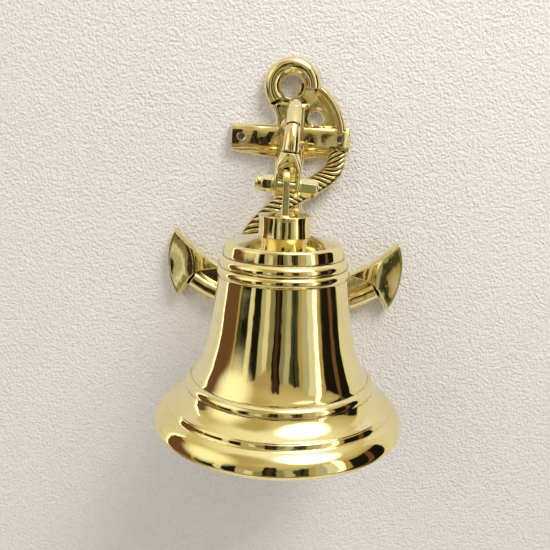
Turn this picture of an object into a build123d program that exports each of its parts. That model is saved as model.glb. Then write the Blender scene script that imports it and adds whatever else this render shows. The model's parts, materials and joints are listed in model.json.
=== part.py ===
"""Ship's bell hung from an anchor-shaped wall bracket, all of cast and turned brass.

Millimetres. +Z is up, the wall is the plane Y = 0 and the front of the bell faces -Y.
The origin is on the wall, midway between the two wall screws.
"""
import os
from math import cos, radians, sin, tan

from build123d import *

os.makedirs("parts", exist_ok=True)

# ---- driving dimensions ---------------------------------------------------------------
bell_reach = 88.0            # wall to the bell's axis
pivot_drop = 26.0            # wall screws down to the bell's swing axis
mouth_drop = 170.0           # wall screws down to the mouth of the bell
mouth_radius = 75.0          # outside of the lip, a 6 inch bell

screw_spacing = 68.0         # wall screws, left to right
screw_hole_radius = 2.4
screw_head_radius = 3.5      # countersink for a No. 8 screw

arm_root_z = 7.0             # the arm's spigot through the shank, above the wall screws
arm_lean = radians(5.2)      # the arm is screwed up a little askew: its top leans to the right

pivot_z = -pivot_drop
mouth_z = -mouth_drop
axis_y = -bell_reach
axis_x = -(arm_root_z - pivot_z) * tan(arm_lean)    # so the bell hangs left of the middle

# ---- anchor ---------------------------------------------------------------------------
shank_depth = 10.0           # front face of the shank, out from the wall
arm_seat_depth = 13.0        # round seat on the shank for the swan-neck arm
arm_seat_radius = 6.8
stock_depth = 9.5
stock_half_length = 41.0
stock_top = 8.6
stock_end_bottom = -10.2
stock_middle_bottom = -15.8

ring_z = 34.0                # centre of the ring
ring_mid_radius = 13.5
ring_wire_radius = 5.7

arm_bow_z = -2.0             # centre of the arc that the anchor's arms follow
arm_bow_radius = 120.8
anchor_arm_width = 13.6
anchor_arm_depth = 11.0
arm_bow_half_angle = 33.0
crown_lean = radians(2.1)    # the two arms sit a little askew on the shank, right side down
crown_centre_z = -78.0       # they are turned about this point of the shank
palm_depth = 12.0
gusset_depth = 5.0           # between the bill of a palm and its arm

web_depth = 4.5
ring_fill_x = 3.4            # the web closes the ring's hole to the right of this
web_hole = (17.3, 13.4)      # across, up
web_hole_radius = 4.9
band_radius = 3.4            # smooth cord from the ring down to the stock

rope_radius = 6.6
rope_axis_y = -8.7
rope_route = [               # across, up
    (33.0, -9.0), (28.5, -22.5), (13.5, -33.8), (-5.6, -46.4), (-18.0, -58.0), (-28.0, -73.0),
    (-27.0, -89.0), (-11.0, -99.5), (9.0, -105.0), (27.0, -112.5),
]

# ---- swan-neck arm --------------------------------------------------------------------
neck_radius = 4.3
arm_flange_radius = 5.2
arm_flange_length = 3.0
spigot_radius = 3.0          # M6
nut_pocket_radius = 7.8
nut_pocket_depth = 6.2
arm_nut_flats = 10.0
arm_nut_length = 4.0
spigot_end = 0.8             # end of the spigot, short of the wall
neck_bend = radians(43)      # lean of the neck at its upper groove, from upright
lower_bend_radius = 20.0
upper_bend_radius = 43.0

fork_gap = 10.0              # between the two prongs
prong_thickness = 2.4
prong_radius = 7.2           # rounded lower end of a prong, about the swing axis
fork_crotch = 12.3           # swing axis up to the top of the gap
fork_shoulder = 20.5         # swing axis up to the top of the fork

# ---- bell swing axis ------------------------------------------------------------------
pivot_radius = 3.0           # M6 bolt
running_clearance = 0.05
washer_thickness = 1.0
washer_radius = 5.4
bolt_head_flats = 9.0
bolt_head_length = 10.0
pivot_nut_flats = 8.6
pivot_nut_length = 6.0
pivot_nut_dome = 3.6

# ---- hanger: boss, lug and stud -------------------------------------------------------
lug_thickness = 3.9
lug_radius = 10.9            # rounded top of the lug, about the swing axis
boss_radius = 15.2
boss_height = 12.2
boss_cone_height = 2.8       # where the top of the boss runs up into the lug
stud_radius = 4.0            # M8
stud_length = 15.0

# ---- bell, heights measured up from the mouth -----------------------------------------
crown_height = 115.0         # seat of the hanger
crown_underside = 110.6
stud_hole_radius = 4.2
sound_bow_inner = 68.6       # radius of the mouth inside
crown_washer_radius = 10.0
crown_washer_thickness = 1.2

# ---- clapper --------------------------------------------------------------------------
clapper_pin_height = 91.0    # above the mouth
clapper_pin_radius = 2.0
clapper_length = 84.0        # pin to the centre of the ball
clapper_ball_radius = 11.5
clapper_rod_radius = 2.5
clapper_eye_radius = 5.4
clapper_eye_thickness = 4.2
clevis_gap = 5.8
clevis_cheek = 2.4
clevis_radius = 6.6
clevis_flats = 14.0
clevis_head_length = 11.0
clevis_slot_top = 6.2        # pin up to the bottom of the slot
clapper_pin_head = 1.2
ball_flat = 1.0
clapper_nut_radius = 4.2
clapper_nut_length = 7.0
lanyard_hole_radius = 1.6


def at_height(height):
    """Z of a height measured up from the bell's mouth."""
    return mouth_z + height


def on_neck(depth, height):
    """Point in the leaning plane of the arm: its Y, and its distance above the swing axis."""
    return (axis_x + height * sin(arm_lean), depth, pivot_z + height * cos(arm_lean))


# Upright planes through the bell's axis. In turning_plane, X is the distance to the right of
# the axis and Y is world Z. In the side planes, X runs back to the wall and Y runs up.
turning_plane = Plane(origin=(axis_x, axis_y, 0), x_dir=(1, 0, 0), z_dir=(0, -1, 0))
bell_axis = Axis((axis_x, axis_y, 0), (0, 0, 1))
lug_plane = Plane(origin=(axis_x, axis_y, pivot_z), x_dir=(0, 1, 0), z_dir=(1, 0, 0))
clapper_z = at_height(clapper_pin_height)
clapper_plane = Plane(origin=(axis_x, axis_y, clapper_z), x_dir=(0, 1, 0), z_dir=(1, 0, 0))

# The same two planes at the swing axis, leaning with the arm.
swing_direction = (cos(arm_lean), 0, -sin(arm_lean))
neck_direction = (sin(arm_lean), 0, cos(arm_lean))
swing_plane = Plane(origin=(axis_x, axis_y, pivot_z), x_dir=(0, 1, 0), z_dir=swing_direction)
fork_plane = Plane(origin=(axis_x, axis_y, pivot_z), x_dir=swing_direction, z_dir=(0, -1, 0))


# Wall plane in which the anchor's arms and palms are drawn, turned with their lean.
crown_plane = Plane(origin=(-crown_centre_z * sin(crown_lean), 0, crown_centre_z * (1 - cos(crown_lean))),
                    x_dir=(cos(crown_lean), 0, -sin(crown_lean)), z_dir=(0, -1, 0))


# ======================================================================================
# Anchor: one casting with a flat back on the wall
# ======================================================================================
with BuildPart() as anchor:
    # shank, from the ring down to the crown of the anchor
    with BuildSketch(Plane.XZ):
        with BuildLine():
            Polyline((-10.5, 20.0), (10.5, 20.0), (9.6, -22.0), (12.0, -112.0), (8.5, -126.0), (0, -134.0),
                     (-8.5, -126.0), (-12.0, -112.0), (-9.6, -22.0), close=True)
        make_face()
    extrude(amount=shank_depth, taper=8)
    with BuildSketch(Plane.XZ):
        with Locations((0, arm_root_z)):
            Circle(arm_seat_radius)
    extrude(amount=arm_seat_depth, taper=4)

    # stock, a flat bar that is deepest where it crosses the shank
    with BuildSketch(Plane.XZ):
        with BuildLine():
            Polyline((-stock_half_length, stock_top), (stock_half_length, stock_top),
                     (stock_half_length, stock_end_bottom), (0, stock_middle_bottom),
                     (-stock_half_length, stock_end_bottom), close=True)
        make_face()
    extrude(amount=stock_depth, taper=6)

    # the two arms are one bow
    with BuildSketch(crown_plane):
        with BuildLine():
            inner = CenterArc((0, arm_bow_z), arm_bow_radius - anchor_arm_width / 2,
                              270 - arm_bow_half_angle, 2 * arm_bow_half_angle)
            outer = CenterArc((0, arm_bow_z), arm_bow_radius + anchor_arm_width / 2,
                              270 - arm_bow_half_angle, 2 * arm_bow_half_angle)
            Line(inner @ 0, outer @ 0)
            Line(inner @ 1, outer @ 1)
        make_face()
    extrude(amount=anchor_arm_depth, taper=8)

    # palms: a crescent with a point at each end, and a long bill that points at the shank
    with BuildSketch(crown_plane):
        with BuildLine():
            edge = ThreePointArc((79.6, -68.0), (83.9, -88.0), (74.8, -117.9))
            heel = ThreePointArc(edge @ 1, (68.6, -106.8), (60.5, -97.5))
            bill = Line(heel @ 1, (45.0, -94.0))
            ThreePointArc(bill @ 1, (62.5, -83.2), edge @ 0)
        make_face()
        mirror(about=Plane.YZ)
    extrude(amount=palm_depth)

    # a thin gusset closes the gap between each bill and its arm
    with BuildSketch(crown_plane):
        with BuildLine():
            Polyline((64.0, -96.0), (44.0, -92.5), (41.0, -112.0), (62.0, -104.0), close=True)
        make_face()
        mirror(about=Plane.YZ)
    extrude(amount=gusset_depth)

    # ring
    with Locations((0, -ring_wire_radius - 0.4, ring_z)):
        Torus(ring_mid_radius, ring_wire_radius, rotation=(90, 0, 0))

    # thin web between ring, stock and the smooth cord, with its round hole
    with BuildSketch(Plane.XZ):
        with BuildLine():
            Polyline((4.0, 6.0), (4.0, 22.0), (19.5, 29.5), (29.0, 20.0), (33.0, 12.0), (33.0, 6.0),
                     close=True)
        make_face()
        with BuildLine():
            Polyline((ring_fill_x, 24.0), (ring_fill_x, 36.0), (9.5, 36.0), (9.5, 24.0), close=True)
        make_face()
        with Locations(web_hole):
            Circle(web_hole_radius, mode=Mode.SUBTRACT)
    extrude(amount=web_depth)

    # smooth cord
    with BuildLine() as band_path:
        FilletPolyline((17.0, -5.0, 33.0), (23.5, -5.0, 27.0), (30.0, -5.0, 19.0), (34.0, -5.0, 5.0),
                       radius=8.0)
    with BuildSketch(Plane(origin=band_path.line @ 0, z_dir=band_path.line % 0)):
        Circle(band_radius)
    sweep()

    # rope
    with BuildLine() as rope_path:
        FilletPolyline([(across, rope_axis_y, up) for across, up in rope_route], radius=9.0)
    with BuildSketch(Plane(origin=rope_path.line @ 0, z_dir=rope_path.line % 0)):
        Circle(rope_radius)
    sweep()

    # wall screws, countersunk from the front
    with Locations(Plane(origin=(0, -stock_depth, 0), x_dir=(1, 0, 0), z_dir=(0, -1, 0))):
        with GridLocations(screw_spacing, 1, 2, 1):
            CounterSinkHole(radius=screw_hole_radius, counter_sink_radius=screw_head_radius)

    # spigot hole, and the pocket behind it for the nut
    with BuildSketch(Plane.XZ):
        with Locations((0, arm_root_z)):
            Circle(spigot_radius)
    extrude(amount=arm_seat_depth + 1, mode=Mode.SUBTRACT)
    with BuildSketch(Plane.XZ):
        with Locations((0, arm_root_z)):
            Circle(nut_pocket_radius)
    extrude(amount=nut_pocket_depth, mode=Mode.SUBTRACT)

anchor.part.label = "anchor"
export_step(anchor.part, "parts/anchor.step")


# ======================================================================================
# Swan-neck arm with its fork, and what holds it to the anchor
# ======================================================================================
# points along the neck, as (Y, height above the swing axis)
upright_top = (axis_y, fork_shoulder - 1.5)
upper_groove = (upright_top[0] + lower_bend_radius * (1 - cos(neck_bend)),
                upright_top[1] + lower_bend_radius * sin(neck_bend))
crest = (upper_groove[0] + upper_bend_radius * cos(neck_bend),
         upper_groove[1] + upper_bend_radius * (1 - sin(neck_bend)))
root_height = (arm_root_z - pivot_z) / cos(arm_lean)
root_end = (-arm_seat_depth - arm_flange_length, root_height)
fork_half = fork_gap / 2 + prong_thickness
shoulder_half = neck_radius + 0.7

# the fork is where its front outline and its side outline cross
with BuildPart() as fork:
    with BuildSketch(fork_plane):
        with BuildLine():
            Polyline((-shoulder_half, fork_shoulder), (shoulder_half, fork_shoulder),
                     (fork_half, fork_crotch), (fork_half, -prong_radius),
                     (-fork_half, -prong_radius), (-fork_half, fork_crotch), close=True)
        make_face()
    extrude(amount=prong_radius, both=True)
    with BuildSketch(swing_plane):
        Circle(prong_radius)
        with BuildLine():
            Polyline((-prong_radius, 0), (prong_radius, 0), (prong_radius, fork_crotch - 2),
                     (shoulder_half, fork_shoulder), (-shoulder_half, fork_shoulder),
                     (-prong_radius, fork_crotch - 2), close=True)
        make_face()
    extrude(amount=fork_half, both=True, mode=Mode.INTERSECT)
    # round-topped gap for the lug
    with BuildSketch(fork_plane):
        with Locations((0, fork_crotch - fork_gap / 2)):
            Circle(fork_gap / 2)
            Rectangle(fork_gap, 4 * prong_radius, align=(Align.CENTER, Align.MAX))
    extrude(amount=prong_radius + 1, both=True, mode=Mode.SUBTRACT)
    with BuildSketch(swing_plane):
        Circle(pivot_radius)
    extrude(amount=fork_half + 1, both=True, mode=Mode.SUBTRACT)

with BuildPart() as arm:
    with BuildLine() as neck_path:
        upright = Line(on_neck(axis_y, fork_crotch + 3), on_neck(*upright_top))
        lower_bend = TangentArc(upright @ 1, on_neck(*upper_groove), tangent=upright % 1)
        upper_bend = TangentArc(lower_bend @ 1, on_neck(*crest), tangent=lower_bend % 1)
        Spline(upper_bend @ 1, on_neck(*root_end), tangents=(upper_bend % 1, (0, 1, 0)),
               tangent_scalars=(1.2, 0.8))
    with BuildSketch(Plane(origin=upright @ 0, z_dir=neck_direction)):
        Circle(neck_radius)
    sweep()

    # turned collars, one at the top of the fork and one where the neck leans back
    for place, direction, collar_radius in (
        (upright @ 1, neck_direction, neck_radius + 0.7),
        (lower_bend @ 1, lower_bend % 1, neck_radius + 0.5),
    ):
        with BuildSketch(Plane(origin=place, z_dir=direction)):
            Circle(collar_radius)
        extrude(amount=1.4, both=True)

    # flange against its seat, and the threaded spigot through the shank
    with BuildSketch(Plane.XZ.offset(arm_seat_depth)):
        with Locations((0, arm_root_z)):
            Circle(arm_flange_radius)
    extrude(amount=arm_flange_length)
    with BuildSketch(Plane.XZ.offset(spigot_end)):
        with Locations((0, arm_root_z)):
            Circle(spigot_radius)
    extrude(amount=arm_seat_depth)

    add(fork.part)

arm.part.label = "arm"
export_step(arm.part, "parts/arm.step")

with BuildPart() as arm_washer:
    with BuildSketch(Plane.XZ.offset(nut_pocket_depth - washer_thickness)):
        with Locations((0, arm_root_z)):
            Circle(nut_pocket_radius - 0.6)
            Circle(spigot_radius, mode=Mode.SUBTRACT)
    extrude(amount=washer_thickness)

arm_washer.part.label = "arm_washer"
export_step(arm_washer.part, "parts/arm_washer.step")

with BuildPart() as arm_nut:
    with BuildSketch(Plane.XZ.offset(nut_pocket_depth - washer_thickness - arm_nut_length)):
        with Locations((0, arm_root_z)):
            RegularPolygon(radius=arm_nut_flats / 2, side_count=6, major_radius=False)
            Circle(spigot_radius, mode=Mode.SUBTRACT)
    extrude(amount=arm_nut_length)

arm_nut.part.label = "arm_nut"
export_step(arm_nut.part, "parts/arm_nut.step")


# ======================================================================================
# Swing axis: bolt, washers and domed nut through the fork
# ======================================================================================
washer_face = fork_half + washer_thickness      # outer face of each washer, from the middle

with BuildPart() as pivot_bolt:
    with BuildSketch(swing_plane.offset(-washer_face - pivot_nut_length)):
        Circle(pivot_radius)
    extrude(amount=2 * washer_face + pivot_nut_length)
    with BuildSketch(swing_plane.offset(washer_face)):
        RegularPolygon(radius=bolt_head_flats / 2, side_count=6, major_radius=False, rotation=30)
    extrude(amount=bolt_head_length)
    chamfer(edges().group_by(Axis((0, 0, 0), swing_direction))[-1], length=1.2)

pivot_bolt.part.label = "pivot_bolt"
export_step(pivot_bolt.part, "parts/pivot_bolt.step")

with BuildPart() as pivot_washers:
    for inner_face in (fork_half, -washer_face):
        with BuildSketch(swing_plane.offset(inner_face)):
            Circle(washer_radius)
            Circle(pivot_radius, mode=Mode.SUBTRACT)
        extrude(amount=washer_thickness)

pivot_washers.part.label = "pivot_washers"
export_step(pivot_washers.part, "parts/pivot_washers.step")

nut_end = -washer_face - pivot_nut_length
with BuildPart() as pivot_nut:
    with BuildSketch(swing_plane.offset(nut_end)):
        RegularPolygon(radius=pivot_nut_flats / 2, side_count=6, major_radius=False, rotation=30)
        Circle(pivot_radius, mode=Mode.SUBTRACT)
    extrude(amount=pivot_nut_length)
    # domed cap that closes the thread
    with BuildSketch(fork_plane):
        with BuildLine():
            dome = ThreePointArc((nut_end - pivot_nut_dome, 0),
                                 (nut_end - 0.72 * pivot_nut_dome, 0.62 * pivot_nut_flats / 2),
                                 (nut_end, pivot_nut_flats / 2))
            Polyline(dome @ 1, (nut_end, 0), dome @ 0)
        make_face()
    revolve(axis=Axis((axis_x, axis_y, pivot_z), swing_direction))

pivot_nut.part.label = "pivot_nut"
export_step(pivot_nut.part, "parts/pivot_nut.step")


# ======================================================================================
# Hanger: boss on the crown, flat lug above it, stud below it
# ======================================================================================
boss_foot = at_height(crown_height)
boss_top = boss_foot + boss_height
lug_foot_half = 14.2

with BuildPart() as hanger:
    # boss, slightly waisted, with a hollow cone on top that runs up into the lug
    with BuildSketch(turning_plane):
        with BuildLine():
            Line((0, boss_foot), (boss_radius + 0.4, boss_foot))
            waist = ThreePointArc((boss_radius + 0.4, boss_foot),
                                  (boss_radius - 0.5, boss_foot + 0.5 * boss_height),
                                  (boss_radius, boss_top - 0.8))
            shoulder = Line(waist @ 1, (boss_radius - 0.8, boss_top))
            hollow = ThreePointArc(shoulder @ 1, (boss_radius - 8.0, boss_top + 0.9),
                                   (2.4, boss_top + boss_cone_height))
            Polyline(hollow @ 1, (0, boss_top + boss_cone_height), (0, boss_foot))
        make_face()
    revolve(axis=bell_axis)

    # lug, a strap that narrows upward to its round end
    with BuildSketch(lug_plane):
        Circle(lug_radius)
        with BuildLine():
            Polyline((-lug_radius, 0), (lug_radius, 0), (lug_foot_half, boss_top - pivot_z - 1.0),
                     (-lug_foot_half, boss_top - pivot_z - 1.0), close=True)
        make_face()
    extrude(amount=lug_thickness / 2, both=True)

    with BuildSketch(swing_plane):
        Circle(pivot_radius + running_clearance)
    extrude(amount=lug_thickness, both=True, mode=Mode.SUBTRACT)

    with BuildSketch(Plane.XY.offset(boss_foot - stud_length)):
        with Locations((axis_x, axis_y)):
            Circle(stud_radius)
    extrude(amount=stud_length)

hanger.part.label = "hanger"
export_step(hanger.part, "parts/hanger.step")


# ======================================================================================
# Bell: one casting, turned and polished
# ======================================================================================
with BuildPart() as bell:
    with BuildSketch(turning_plane):
        with BuildLine():
            # outside, from the crown down
            Line((stud_hole_radius, at_height(crown_height)), (16.5, at_height(crown_height)))
            Line((16.5, at_height(crown_height)), (32.6, at_height(111.6)))
            crown_edge = ThreePointArc((32.6, at_height(111.6)), (34.3, at_height(110.9)),
                                       (34.9, at_height(109.4)))
            band = Line(crown_edge @ 1, (36.0, at_height(103.2)))
            upper_bead = ThreePointArc(band @ 1, (38.0, at_height(100.6)), (37.2, at_height(97.6)))
            lower_bead = ThreePointArc(upper_bead @ 1, (38.9, at_height(95.0)), (37.7, at_height(91.9)))
            waist = Spline(lower_bead @ 1, (38.5, at_height(86.0)), (40.1, at_height(75.0)),
                           (42.6, at_height(58.5)), (45.8, at_height(45.8)), (48.9, at_height(38.3)),
                           (53.2, at_height(31.4)))
            flare_bead = ThreePointArc(waist @ 1, (56.0, at_height(29.4)), (56.6, at_height(25.8)))
            flare = ThreePointArc(flare_bead @ 1, (60.6, at_height(20.7)), (66.2, at_height(17.0)))
            lip_cove = ThreePointArc(flare @ 1, (66.9, at_height(14.4)), (68.6, at_height(12.8)))
            lip_top = ThreePointArc(lip_cove @ 1, (73.2, at_height(9.8)), (mouth_radius, at_height(6.0)))
            lip_under = ThreePointArc(lip_top @ 1, (74.3, at_height(1.9)), (72.0, at_height(0)))
            # mouth, then up the inside
            mouth = Line(lip_under @ 1, (sound_bow_inner, at_height(0)))
            bore = Spline(mouth @ 1, (62.6, at_height(10.0)), (55.4, at_height(20.0)),
                          (48.8, at_height(30.0)), (42.2, at_height(45.0)), (38.8, at_height(60.0)),
                          (36.3, at_height(76.0)), (34.4, at_height(92.0)), (32.6, at_height(103.0)))
            inner_edge = ThreePointArc(bore @ 1, (30.6, at_height(106.8)), (26.6, at_height(108.6)))
            Polyline(inner_edge @ 1, (14.0, at_height(crown_underside)),
                     (stud_hole_radius, at_height(crown_underside)),
                     (stud_hole_radius, at_height(crown_height)))
        make_face()
    revolve(axis=bell_axis)

bell.part.label = "bell"
export_step(bell.part, "parts/bell.step")

with BuildPart() as crown_washer:
    with BuildSketch(Plane.XY.offset(at_height(crown_underside) - crown_washer_thickness)):
        with Locations((axis_x, axis_y)):
            Circle(crown_washer_radius)
            Circle(stud_radius, mode=Mode.SUBTRACT)
    extrude(amount=crown_washer_thickness)

crown_washer.part.label = "crown_washer"
export_step(crown_washer.part, "parts/crown_washer.step")


# ======================================================================================
# Clapper: clevis on the stud, pin, rod, ball and the nut below it
# ======================================================================================
clevis_top = at_height(crown_underside) - crown_washer_thickness
cheek_half = clevis_gap / 2 + clevis_cheek

with BuildPart() as clapper_clevis:
    # hexagonal head that screws up the stud
    with BuildSketch(Plane.XY.offset(clevis_top - clevis_head_length)):
        with Locations((axis_x, axis_y)):
            RegularPolygon(radius=clevis_flats / 2, side_count=6, major_radius=False)
    extrude(amount=clevis_head_length)
    # two cheeks
    with BuildSketch(clapper_plane):
        Circle(clevis_radius)
        Rectangle(2 * clevis_radius, clevis_top - clevis_head_length - clapper_z,
                  align=(Align.CENTER, Align.MIN))
    extrude(amount=cheek_half, both=True)
    with BuildSketch(clapper_plane):
        with Locations((0, clevis_slot_top)):
            Rectangle(4 * clevis_radius, 4 * clevis_radius, align=(Align.CENTER, Align.MAX))
    extrude(amount=clevis_gap / 2, both=True, mode=Mode.SUBTRACT)
    with BuildSketch(clapper_plane):
        Circle(clapper_pin_radius)
    extrude(amount=cheek_half + 1, both=True, mode=Mode.SUBTRACT)
    with BuildSketch(Plane.XY.offset(boss_foot - stud_length)):
        with Locations((axis_x, axis_y)):
            Circle(stud_radius)
    extrude(amount=stud_length, mode=Mode.SUBTRACT)

clapper_clevis.part.label = "clapper_clevis"
export_step(clapper_clevis.part, "parts/clapper_clevis.step")

with BuildPart() as clapper_pin:
    with BuildSketch(clapper_plane):
        Circle(clapper_pin_radius)
    extrude(amount=cheek_half, both=True)
    # a round head at each end, one of them riveted over
    for face, outward in ((cheek_half, 1), (-cheek_half, -1)):
        with BuildSketch(clapper_plane.offset(face)):
            Circle(clapper_pin_radius + 1.2)
        extrude(amount=outward * clapper_pin_head)
    chamfer(edges().group_by(Axis.X)[-1] + edges().group_by(Axis.X)[0], length=0.5)

clapper_pin.part.label = "clapper_pin"
export_step(clapper_pin.part, "parts/clapper_pin.step")

ball_z = clapper_z - clapper_length
rod_end_z = ball_z - clapper_ball_radius - clapper_nut_length + 2.0
with BuildPart() as clapper_rod:
    with BuildSketch(clapper_plane):
        Circle(clapper_eye_radius)
    extrude(amount=clapper_eye_thickness / 2, both=True)
    with BuildSketch(Plane.XY.offset(rod_end_z)):
        with Locations((axis_x, axis_y)):
            Circle(clapper_rod_radius)
    extrude(amount=clapper_z - clapper_eye_radius + 1.5 - rod_end_z)
    with BuildSketch(clapper_plane):
        Circle(clapper_pin_radius + running_clearance)
    extrude(amount=clapper_eye_thickness, both=True, mode=Mode.SUBTRACT)

clapper_rod.part.label = "clapper_rod"
export_step(clapper_rod.part, "parts/clapper_rod.step")

with BuildPart() as clapper_ball:
    with Locations((axis_x, axis_y, ball_z)):
        Sphere(clapper_ball_radius)
    with BuildSketch(Plane.XY.offset(ball_z - clapper_ball_radius - 1)):
        with Locations((axis_x, axis_y)):
            Circle(clapper_rod_radius)
    extrude(amount=2 * clapper_ball_radius + 2, mode=Mode.SUBTRACT)
    # flat seat for the nut
    with BuildSketch(Plane.XY.offset(ball_z - clapper_ball_radius + ball_flat)):
        with Locations((axis_x, axis_y)):
            Circle(clapper_ball_radius)
    extrude(amount=-clapper_ball_radius, mode=Mode.SUBTRACT)

clapper_ball.part.label = "clapper_ball"
export_step(clapper_ball.part, "parts/clapper_ball.step")

nut_top_z = ball_z - clapper_ball_radius + ball_flat
with BuildPart() as clapper_nut:
    with BuildSketch(Plane.XY.offset(nut_top_z)):
        with Locations((axis_x, axis_y)):
            Circle(clapper_nut_radius)
    extrude(amount=-clapper_nut_length)
    with Locations((axis_x, axis_y, nut_top_z - clapper_nut_length)):
        Sphere(clapper_nut_radius)
    with BuildSketch(Plane.XY.offset(rod_end_z)):
        with Locations((axis_x, axis_y)):
            Circle(clapper_rod_radius)
    extrude(amount=20, mode=Mode.SUBTRACT)
    # cross hole for a lanyard
    with BuildSketch(turning_plane):
        with Locations((0, nut_top_z - clapper_nut_length - 1.0)):
            Circle(lanyard_hole_radius)
    extrude(amount=2 * clapper_nut_radius, both=True, mode=Mode.SUBTRACT)

clapper_nut.part.label = "clapper_nut"
export_step(clapper_nut.part, "parts/clapper_nut.step")
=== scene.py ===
"""Looks of the brass ship's bell and its anchor-shaped wall bracket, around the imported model.

Shapes are written in millimetres in the model's own frame, as turned profiles, swept sections and
distance fields, and become meshes in metres. A distance field is a function of x, y and z that is
negative inside the metal.
"""
import json
from itertools import product
from math import atan2, cos, hypot, pi, radians, sin, sqrt

import bpy
import numpy as np
from mathutils import Matrix, Vector


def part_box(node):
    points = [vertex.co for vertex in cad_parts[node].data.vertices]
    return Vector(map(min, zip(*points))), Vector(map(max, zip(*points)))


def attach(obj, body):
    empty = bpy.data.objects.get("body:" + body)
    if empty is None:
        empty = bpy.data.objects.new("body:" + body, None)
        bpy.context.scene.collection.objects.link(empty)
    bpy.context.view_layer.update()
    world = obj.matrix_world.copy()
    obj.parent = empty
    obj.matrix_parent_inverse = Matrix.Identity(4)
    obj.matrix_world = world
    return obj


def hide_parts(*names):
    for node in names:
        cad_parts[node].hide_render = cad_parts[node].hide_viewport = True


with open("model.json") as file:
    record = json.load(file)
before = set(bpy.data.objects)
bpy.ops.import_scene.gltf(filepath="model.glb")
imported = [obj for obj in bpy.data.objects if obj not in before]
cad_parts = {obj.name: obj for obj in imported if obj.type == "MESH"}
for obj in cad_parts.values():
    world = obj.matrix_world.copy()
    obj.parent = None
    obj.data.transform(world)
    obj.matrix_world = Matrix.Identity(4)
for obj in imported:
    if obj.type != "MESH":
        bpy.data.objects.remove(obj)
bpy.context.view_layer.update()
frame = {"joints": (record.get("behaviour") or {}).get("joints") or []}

MM = 0.001
DETAIL = 1.0      # cell sizes are multiplied by this

# ---- places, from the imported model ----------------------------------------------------
joints = {joint["name"]: joint for joint in frame["joints"]}
pivot = np.array(joints["bell_swing"]["pos_m"]) / MM
swing_axis = np.array(joints["bell_swing"]["axis"])
neck_axis = np.array([-swing_axis[2], 0.0, swing_axis[0]])      # up along the leaning arm
clapper_pin = np.array(joints["clapper_swing"]["pos_m"]) / MM
axis_x, axis_y, pivot_z = pivot
mouth_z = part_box("bell")[0].z / MM
boss_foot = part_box("bell")[1].z / MM
ball_radius = 11.5
ball_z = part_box("clapper_ball")[1].z / MM - ball_radius


# ==== Distance fields =================================================================
def both(a, b, radius):
    """Where a and b overlap, with a rounded edge."""
    corner = np.hypot(np.maximum(a + radius, 0), np.maximum(b + radius, 0))
    return np.minimum(np.maximum(a, b), -radius) + corner


def either(a, b, radius):
    """a and b joined, with a fillet in the corner between them."""
    corner = np.hypot(np.maximum(radius - a, 0), np.maximum(radius - b, 0))
    return np.maximum(np.minimum(a, b), radius) - corner


def without(a, b, radius):
    """a with b cut away, with a rounded edge."""
    return both(a, -b, radius)


def ease(value, low, high):
    """0 below low, 1 above high, and a smooth step between."""
    t = np.clip((value - low) / (high - low), 0, 1)
    return t * t * (3 - 2 * t)


def outline(u, v, points):
    """Distance in a plane to a closed outline."""
    nearest = np.inf
    inside = False
    for (u0, v0), (u1, v1) in zip(points, points[1:] + points[:1]):
        du, dv = u1 - u0, v1 - v0
        along = np.clip(((u - u0) * du + (v - v0) * dv) / (du * du + dv * dv), 0, 1)
        nearest = np.minimum(nearest, (u - u0 - along * du) ** 2 + (v - v0 - along * dv) ** 2)
        if dv:
            inside = inside ^ (((v0 > v) != (v1 > v)) & (u < u0 + du * (v - v0) / dv))
    return np.sqrt(nearest) * np.where(inside, -1, 1)


def circle_through(a, b, c):
    """Centre and radius of the circle through three points."""
    (ax, ay), (bx, by), (cx, cy) = a, b, c
    turn = 2 * (ax * (by - cy) + bx * (cy - ay) + cx * (ay - by))
    aa, bb, cc = ax * ax + ay * ay, bx * bx + by * by, cx * cx + cy * cy
    u = (aa * (by - cy) + bb * (cy - ay) + cc * (ay - by)) / turn
    v = (aa * (cx - bx) + bb * (ax - cx) + cc * (bx - ax)) / turn
    return u, v, hypot(ax - u, ay - v)


def arc(a, b, c, count=20):
    """Points on the arc from a through b to c, without c."""
    u, v, radius = circle_through(a, b, c)
    first, middle, last = (atan2(p[1] - v, p[0] - u) for p in (a, b, c))
    turn = (last - first) % (2 * pi)
    if (middle - first) % (2 * pi) > turn:
        turn -= 2 * pi
    angles = [first + turn * i / count for i in range(count)]
    return [(u + radius * cos(t), v + radius * sin(t)) for t in angles]


def hexagon(u, v, flats):
    """Distance to a hexagon with two level flats."""
    return np.maximum(np.abs(v), np.abs(u) * cos(pi / 6) + np.abs(v) * 0.5) - flats / 2


# ==== Meshes ==========================================================================
def gradient(distance, points, step):
    slopes = []
    for axis in range(3):
        shift = np.zeros(3)
        shift[axis] = step
        slopes.append(distance(*(points + shift).T) - distance(*(points - shift).T))
    return np.stack(slopes, 1) / (2 * step)


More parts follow.
